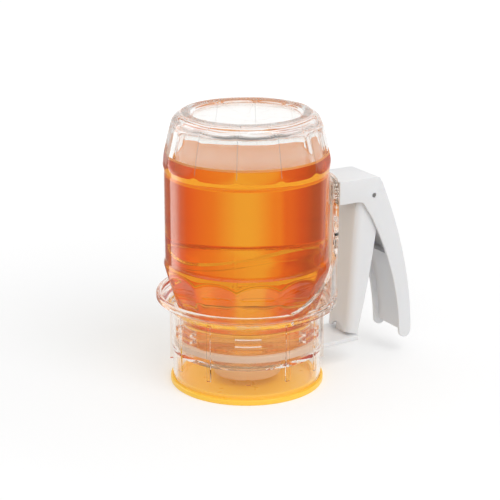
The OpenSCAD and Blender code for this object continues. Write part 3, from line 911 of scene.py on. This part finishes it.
@dataclass
class Cup:
    """The clear cup with its seals, the valve under its floor and the drip tray, in millimetres."""

    outlet: float = 8.0
    outlet_seal_depth: float = 2.6
    outlet_seal_round: float = 0.3
    floor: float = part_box("outlet_seal")[0].z / MM + outlet_seal_depth
    ledge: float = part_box("jar_seal")[0].z / MM
    neck: float = 37.8
    socket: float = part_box("jar_seal")[1].x / MM
    seal_top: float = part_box("jar_seal")[1].z / MM
    seal_round: float = 0.45
    skirt: float = 43.6
    skirt_wall: float = 2.4
    play: float = 0.3
    tray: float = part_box("drip_tray")[1].x / MM
    tray_foot: float = 0.5
    tray_floor: float = 1.6
    tray_round: float = 0.55
    lip: float = 3.0
    seat: float = 2.6
    ring_height: float = 2.1
    ring_width: float = 2.0
    valve_round: float = 0.3
    steps: int = 144

    def jar_seal(self) -> None:
        """Spins the seal that the jar's mouth presses on, with a bead that laps up round the mouth."""
        neck, low = self.neck, self.ledge
        profile = filleted([
            (neck - 1.8, low), (self.socket, low), (self.socket, self.seal_top),
            (neck + 1.2, self.seal_top), (neck + 0.9, low + 1.9), (neck + 0.75, low + 1.5),
            (neck + 0.9, low + 1.0), (neck - 1.8, low + 1.0)], self.seal_round)
        piece = finished(spun(profile, self.steps), "seal_round_jar_mouth", SILICONE)
        placed(piece, Body.DISPENSER, "jar_seal")

    def outlet_seal(self) -> None:
        """Spins the seal that the gate slides under: a foot in the floor's groove and a lip below it."""
        r, low = self.outlet, self.floor - self.outlet_seal_depth
        profile = filleted([
            (r + 0.2, low + 0.5), (r + 0.9, low), (r + 2.0, low), (r + 2.6, low + 0.7),
            (r + 3.8, low + 1.1), (r + 3.8, self.floor + 0.9), (r + 1.2, self.floor + 0.9),
            (r + 1.2, self.floor), (r + 0.2, self.floor)], self.outlet_seal_round)
        piece = finished(spun(profile, self.steps), "seal_round_outlet", SILICONE)
        placed(piece, Body.DISPENSER, "outlet_seal")

    def drip_tray(self) -> None:
        """Spins the tray: a flat foot with a groove under it, a lip round the cup and a ring inside."""
        inner, gap = self.skirt - self.skirt_wall - self.play, self.skirt + self.play
        top = self.seat + self.ring_height
        profile = filleted([
            (0, self.tray_foot), (self.tray - 7, self.tray_foot), (self.tray - 6, 0), (self.tray, 0),
            (self.tray, self.lip), (gap, self.lip), (gap, self.seat), (inner, self.seat), (inner, top),
            (inner - self.ring_width, top), (inner - self.ring_width - 0.8, self.tray_floor),
            (0, self.tray_floor)], self.tray_round)
        piece = finished(spun(profile, self.steps * 2), "round_drip_tray", YELLOW_PLASTIC)
        placed(piece, Body.TRAY, "drip_tray")

    def build(self) -> None:
        """Builds the seals, the valve and the tray, and dresses the cup."""
        dressed("clear_cup", CUP_PLASTIC)
        self.jar_seal()
        self.outlet_seal()
        self.drip_tray()
        # the valve's warm cast is painted honey-tinted light
        valve = finished(softened("valve_body", self.valve_round), "valve_under_floor", HONEY_LIT_PLASTIC)
        placed(valve, Body.DISPENSER, "valve_body")


# --- the handle ------------------------------------------------------------------------------


@dataclass
class Handle:
    """The handle cover, the trigger, the gate and their pins and spring, in millimetres.

    The spring's coil starts at an angle and turns on, both in degrees. Each leg's tip tapers.
    """

    pin_radius: float = 1.5
    pivot_x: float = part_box("pivot_pin")[0].x / MM + pin_radius
    pivot_z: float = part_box("pivot_pin")[0].z / MM + pin_radius
    edge: float = 0.35
    coil: float = 3.7
    coil_steps: int = 112
    wire: float = 0.5
    wire_sides: int = 12
    start: float = 34.0
    turn: float = 1566.0
    reach: float = 3.48
    out_leg: float = 9.2
    in_leg: float = 14.0
    tip: float = 0.03
    tip_scale: float = 0.6

    def wire_leg(self, bm: bmesh.types.BMesh, ring: list[bmesh.types.BMEdge], way: Vector) -> None:
        """Draws one straight leg out of an end of the coil.

        Args:
            bm: the spring.
            ring: the edges of the coil's open end.
            way: where the leg runs to from there, in millimetres.
        """
        for share in (1 - self.tip, self.tip):
            grown = bmesh.ops.extrude_edge_only(bm, edges=ring)["geom"]
            verts = [g for g in grown if isinstance(g, bmesh.types.BMVert)]
            edges = [g for g in grown if isinstance(g, bmesh.types.BMEdge)]
            ring = [e for e in edges if all(v in verts for v in e.verts)]
            bmesh.ops.translate(bm, verts=verts, vec=way * share * MM)
        middle = sum((v.co for v in verts), Vector()) / len(verts)
        bmesh.ops.scale(
            bm, verts=verts, vec=(self.tip_scale,) * 3, space=Matrix.Translation(-middle))
        bmesh.ops.contextual_create(bm, geom=ring)

    def spring(self) -> None:
        """Winds the return spring round the pin and draws its two legs."""
        bm = bmesh.new()
        circle = bmesh.ops.create_circle(bm, segments=self.wire_sides, radius=self.wire * MM)["verts"]
        bmesh.ops.translate(bm, verts=circle, vec=(self.coil * MM, -self.reach * MM, 0))
        first_turn = Matrix.Rotation(math.radians(self.start), 3, (0, -1, 0))
        bmesh.ops.rotate(bm, verts=circle, cent=(0, 0, 0), matrix=first_turn)
        first = list(bm.edges)
        spun_end = bmesh.ops.spin(
            bm, geom=circle + first, cent=(0, 0, 0), axis=(0, -1, 0),
            dvec=(0, 2 * self.reach / self.coil_steps * MM, 0), angle=math.radians(self.turn),
            steps=self.coil_steps)["geom_last"]
        last = [g for g in spun_end if isinstance(g, bmesh.types.BMEdge)]
        a, b = math.radians(self.start), math.radians(self.start + self.turn)
        self.wire_leg(bm, first, Vector((math.sin(a), 0, -math.cos(a))) * self.out_leg)
        self.wire_leg(bm, last, Vector((-math.sin(b), 0, math.cos(b))) * self.in_leg)
        bmesh.ops.translate(bm, verts=bm.verts, vec=(self.pivot_x * MM, 0, self.pivot_z * MM))
        bmesh.ops.recalc_face_normals(bm, faces=bm.faces)
        piece = finished(bm, "torsion_spring", STEEL, 50)
        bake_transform(piece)
        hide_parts("return_spring")
        LOG.info("%s: %d faces", piece.name, len(piece.data.polygons))

    def build(self) -> None:
        """Builds the mouldings with soft edges and the spring, and dresses the pins and screws."""
        for node, name, body in (("handle_cover", "squeeze_handle_cover", Body.DISPENSER),
                                 ("trigger", "squeeze_trigger", Body.TRIGGER),
                                 ("slide_gate", "gate_tongue", Body.GATE)):
            placed(finished(softened(node, self.edge), name, WHITE_PLASTIC), body, node)
        self.spring()
        for node in ("handle_screws", "pivot_pin", "link_pin"):
            dressed(node, STEEL)


# --- studio ----------------------------------------------------------------------------------


@dataclass(frozen=True)
class CardRing:
    """A ring of glowing cards round the object, with its radius and height in metres.

    White glows at its level, and the stops are angles in degrees from straight behind the jar, towards
    the left, with the colour there.
    """

    name: str
    radius: float
    height: float
    level: float
    stops: Stops


@dataclass
class Studio:
    """The camera, the floor, the cards and the lamp.

    Lengths are in metres, but the lens and the film in millimetres. Angles are in degrees.
    """

    place: Spread = (-0.45775, -0.79657, 0.36848)
    tilt: float = 72.51
    pan: float = -30.0
    lens: float = 119.3
    film: float = 36.0
    reach: float = 9.0
    surround: float = 0.72
    # how strongly the floor glows for the camera, from one distance to the other
    near: float = 0.15
    far: float = 0.7
    near_lift: float = 0.25
    far_lift: float = 0.42
    behind: float = 60.0
    warm: CardRing = CardRing("warm_cards", 0.16, 0.096, 1.0, (
        (-122, "FFFFFF"), (-100, "DA8A60"), (-60, "C05A20"), (-48, "B04818"), (-34, "BC5420"),
        (-21, "ED7330"), (-16, "F48E40"), (-9, "F9B064"), (-2, "FFFFFF"), (2, "FFFFFF"), (7, "FBC080"),
        (12, "F08A3C"), (19, "D54C18"), (29, "A21C04"), (40, "A83010"), (47, "B84820"), (53, "F4C88C"),
        (62, "F4B070"), (120, "FFFFFF")))
    gloss: CardRing = CardRing("gloss_cards", 0.15, 0.3, 3.2, (
        (-75, "565656"), (-50, "9C9C9C"), (22, "9C9C9C"), (42, "565656"), (63, "565656"),
        (66, "E8E4E2"), (78, "F8F0EC"), (90, "888888"), (102, "565656")))
    card_steps: int = 128
    ceiling_radius: float = 0.5
    ceiling_height: float = 0.6
    ceiling_level: float = 0.25
    aim: float = 0.09
    bounces: int = 40

    def camera(self) -> None:
        """Sets the camera where the photograph was taken from."""
        data = bpy.data.cameras.new("camera")
        data.lens = self.lens
        data.sensor_width = self.film
        data.clip_start = 0.05
        data.clip_end = 50.0
        camera = bpy.data.objects.new("camera", data)
        camera.location = self.place
        camera.rotation_euler = (math.radians(self.tilt), 0.0, math.radians(self.pan))
        bpy.context.scene.collection.objects.link(camera)
        bpy.context.scene.camera = camera

    def shown(self, tree: bpy.types.NodeTree) -> bpy.types.NodeSocket:
        """Adds a value that is 1 for what the camera sees, also in gloss and through glass.

        Args:
            tree: the node tree that reads it.
        Returns:
            The socket that holds it.
        """
        path = add_node(tree, "ShaderNodeLightPath")
        first = add_node(
            tree, "ShaderNodeMath", {"operation": "MAXIMUM"},
            {0: path.outputs["Is Camera Ray"], 1: path.outputs["Is Glossy Ray"]})
        both = add_node(
            tree, "ShaderNodeMath", {"operation": "MAXIMUM"},
            {0: first.outputs[0], 1: path.outputs["Is Transmission Ray"]})
        return both.outputs[0]

    def floor(self) -> None:
        """Lays the floor: dull paper, white where it is seen, with the object's shadow on it."""
        bm = bmesh.new()
        bmesh.ops.create_grid(bm, x_segments=1, y_segments=1, size=self.reach)
        floor = linked(bm, "floor")
        paper = bare_material("white_paper_sweep")
        tree = paper.node_tree
        lit = add_node(
            tree, "ShaderNodeBsdfPrincipled",
            {"Base Color": linear("E8E8E8"), "Roughness": 0.6, "Specular IOR Level": 0.0})
        place = add_node(tree, "ShaderNodeTexCoord")
        away = add_node(
            tree, "ShaderNodeVectorMath", {"operation": "LENGTH"}, {0: place.outputs["Object"]})
        level = add_node(
            tree, "ShaderNodeMapRange",
            {"From Min": self.near, "From Max": self.far, "To Min": self.near_lift,
             "To Max": self.far_lift},
            {"Value": away.outputs["Value"]})
        lift = add_node(tree, "ShaderNodeEmission", {"Color": WHITE}, {"Strength": level.outputs[0]})
        both = add_node(tree, "ShaderNodeAddShader", links={0: lit.outputs[0], 1: lift.outputs[0]})
        mix = add_node(
            tree, "ShaderNodeMixShader",
            links={0: self.shown(tree), 1: lit.outputs[0], 2: both.outputs[0]})
        add_node(tree, "ShaderNodeOutputMaterial", links={"Surface": mix.outputs[0]})
        floor.data.materials.append(paper)

    def card(self, bm: bmesh.types.BMesh, name: str) -> bpy.types.Object:
        """Makes a card of the studio, which neither the camera nor dull surfaces see.

        Args:
            bm: its mesh, which is freed.
            name: its name.
        Returns:
            The card, still without a material.
        """
        card = linked(bm, name)
        card.visible_camera = card.visible_diffuse = card.visible_glossy = card.visible_shadow = False
        card.visible_volume_scatter = False
        return card

    def ring(self, cards: CardRing) -> bpy.types.Object:
        """Stands a ring of glowing cards round the object, whose colour changes from place to place.

        Args:
            cards: the ring's sizes and colours.
        Returns:
            The ring, which only shows through what is clear.
        """
        bm = bmesh.new()
        bmesh.ops.create_circle(bm, segments=self.card_steps, radius=cards.radius)
        grown = bmesh.ops.extrude_edge_only(bm, edges=list(bm.edges))["geom"]
        rim = [g for g in grown if isinstance(g, bmesh.types.BMVert)]
        bmesh.ops.translate(bm, verts=rim, vec=(0, 0, cards.height))
        ring = self.card(bm, cards.name)
        glowing = bare_material(cards.name)
        tree = glowing.node_tree
        place = add_node(tree, "ShaderNodeTexCoord")
        facing = add_node(
            tree, "ShaderNodeMapping", {"Rotation": (0, 0, -math.radians(self.behind))},
            {"Vector": place.outputs["Object"]})
        turn = add_node(
            tree, "ShaderNodeTexGradient", {"gradient_type": "RADIAL"}, {"Vector": facing.outputs[0]})
        ramp = add_node(tree, "ShaderNodeValToRGB", links={0: turn.outputs["Fac"]})
        elements = ramp.color_ramp.elements
        while len(elements) < len(cards.stops):
            elements.new(0.5)
        for stop, (angle, colour) in zip(elements, cards.stops):
            stop.position = 0.5 + angle / 360
            stop.color = linear(colour)
        glow = add_node(tree, "ShaderNodeEmission", {"Strength": cards.level}, {0: ramp.outputs[0]})
        add_node(tree, "ShaderNodeOutputMaterial", links={"Surface": glow.outputs[0]})
        ring.data.materials.append(glowing)
        return ring

    def ceiling(self) -> None:
        """Hangs a dim ceiling over the object."""
        bm = bmesh.new()
        bmesh.ops.create_circle(
            bm, cap_ends=True, segments=self.card_steps // 2, radius=self.ceiling_radius)
        bmesh.ops.translate(bm, verts=bm.verts, vec=(0, 0, self.ceiling_height))
        ceiling = self.card(bm, "dim_ceiling")
        dim = bare_material("dim_ceiling")
        glow = add_node(
            dim.node_tree, "ShaderNodeEmission", {"Color": WHITE, "Strength": self.ceiling_level})
        add_node(dim.node_tree, "ShaderNodeOutputMaterial", links={"Surface": glow.outputs[0]})
        ceiling.data.materials.append(dim)

    def cards(self) -> None:
        """Stands two rings of cards round the object and hangs a dim ceiling over it.

        The first ring only shows through what is clear: straight behind the jar it is white, and to both
        sides it turns amber, so that the honey, which works as a lens, goes deeper towards its edges. The
        second only shows in gloss: it is dim, lighter behind the jar, with one bright strip on the left.
        The ceiling only shows where glass bends the look upwards, which gives the glass its dark lines.
        """
        self.ring(self.warm)
        gloss = self.ring(self.gloss)
        gloss.visible_glossy = True
        gloss.visible_transmission = False
        self.ceiling()

    def world(self) -> None:
        """Sets a white surround, at a plain level for what it lights."""
        world = bpy.data.worlds.new("studio")
        bpy.context.scene.world = world
        world.use_nodes = True
        tree = world.node_tree
        tree.nodes.clear()
        level = add_node(
            tree, "ShaderNodeMapRange", {"To Min": self.surround, "To Max": 1.0},
            {"Value": self.shown(tree)})
        back = add_node(tree, "ShaderNodeBackground", {"Color": WHITE}, {"Strength": level.outputs[0]})
        add_node(tree, "ShaderNodeOutputWorld", links={"Surface": back.outputs[0]})

    def lamp(self, name: str, turn: float, rise: float, away: float, size: Point, power: float) -> None:
        """Hangs one soft box that faces the jar.

        Args:
            name: its name.
            turn: its angle round the jar from the camera's side, in degrees to the right.
            rise: its angle above the table, in degrees.
            away: its distance, in metres.
            size: its width and height, in metres.
            power: its power, in watts.
        """
        data = bpy.data.lights.new(name, "AREA")
        data.shape = "RECTANGLE"
        data.size, data.size_y = size
        data.energy = power
        lamp = bpy.data.objects.new(name, data)
        a, e = math.radians(self.pan + turn), math.radians(rise)
        out = Vector((math.sin(a) * math.cos(e), -math.cos(a) * math.cos(e), math.sin(e)))
        lamp.location = Vector((0, 0, self.aim)) + out * away
        lamp.rotation_euler = out.to_track_quat("Z", "Y").to_euler()
        lamp.visible_camera = False
        bpy.context.scene.collection.objects.link(lamp)

    def build(self) -> None:
        """Builds the studio."""
        self.camera()
        self.floor()
        self.cards()
        self.world()
        self.lamp("key_softbox", turn=38, rise=48, away=1.5, size=(1.0, 1.0), power=8)
        bpy.context.scene.view_settings.view_transform = "Standard"
        paths = bpy.context.scene.cycles
        paths.max_bounces = paths.transmission_bounces = self.bounces
        paths.glossy_bounces = paths.transparent_max_bounces = self.bounces


def main() -> None:
    """Builds the scene."""
    logging.basicConfig(level=logging.INFO, format="%(message)s")
    Studio().build()
    HoneyJar().build()
    Cup().build()
    Handle().build()
    bpy.context.view_layer.update()


if __name__ == "__main__":
    main()
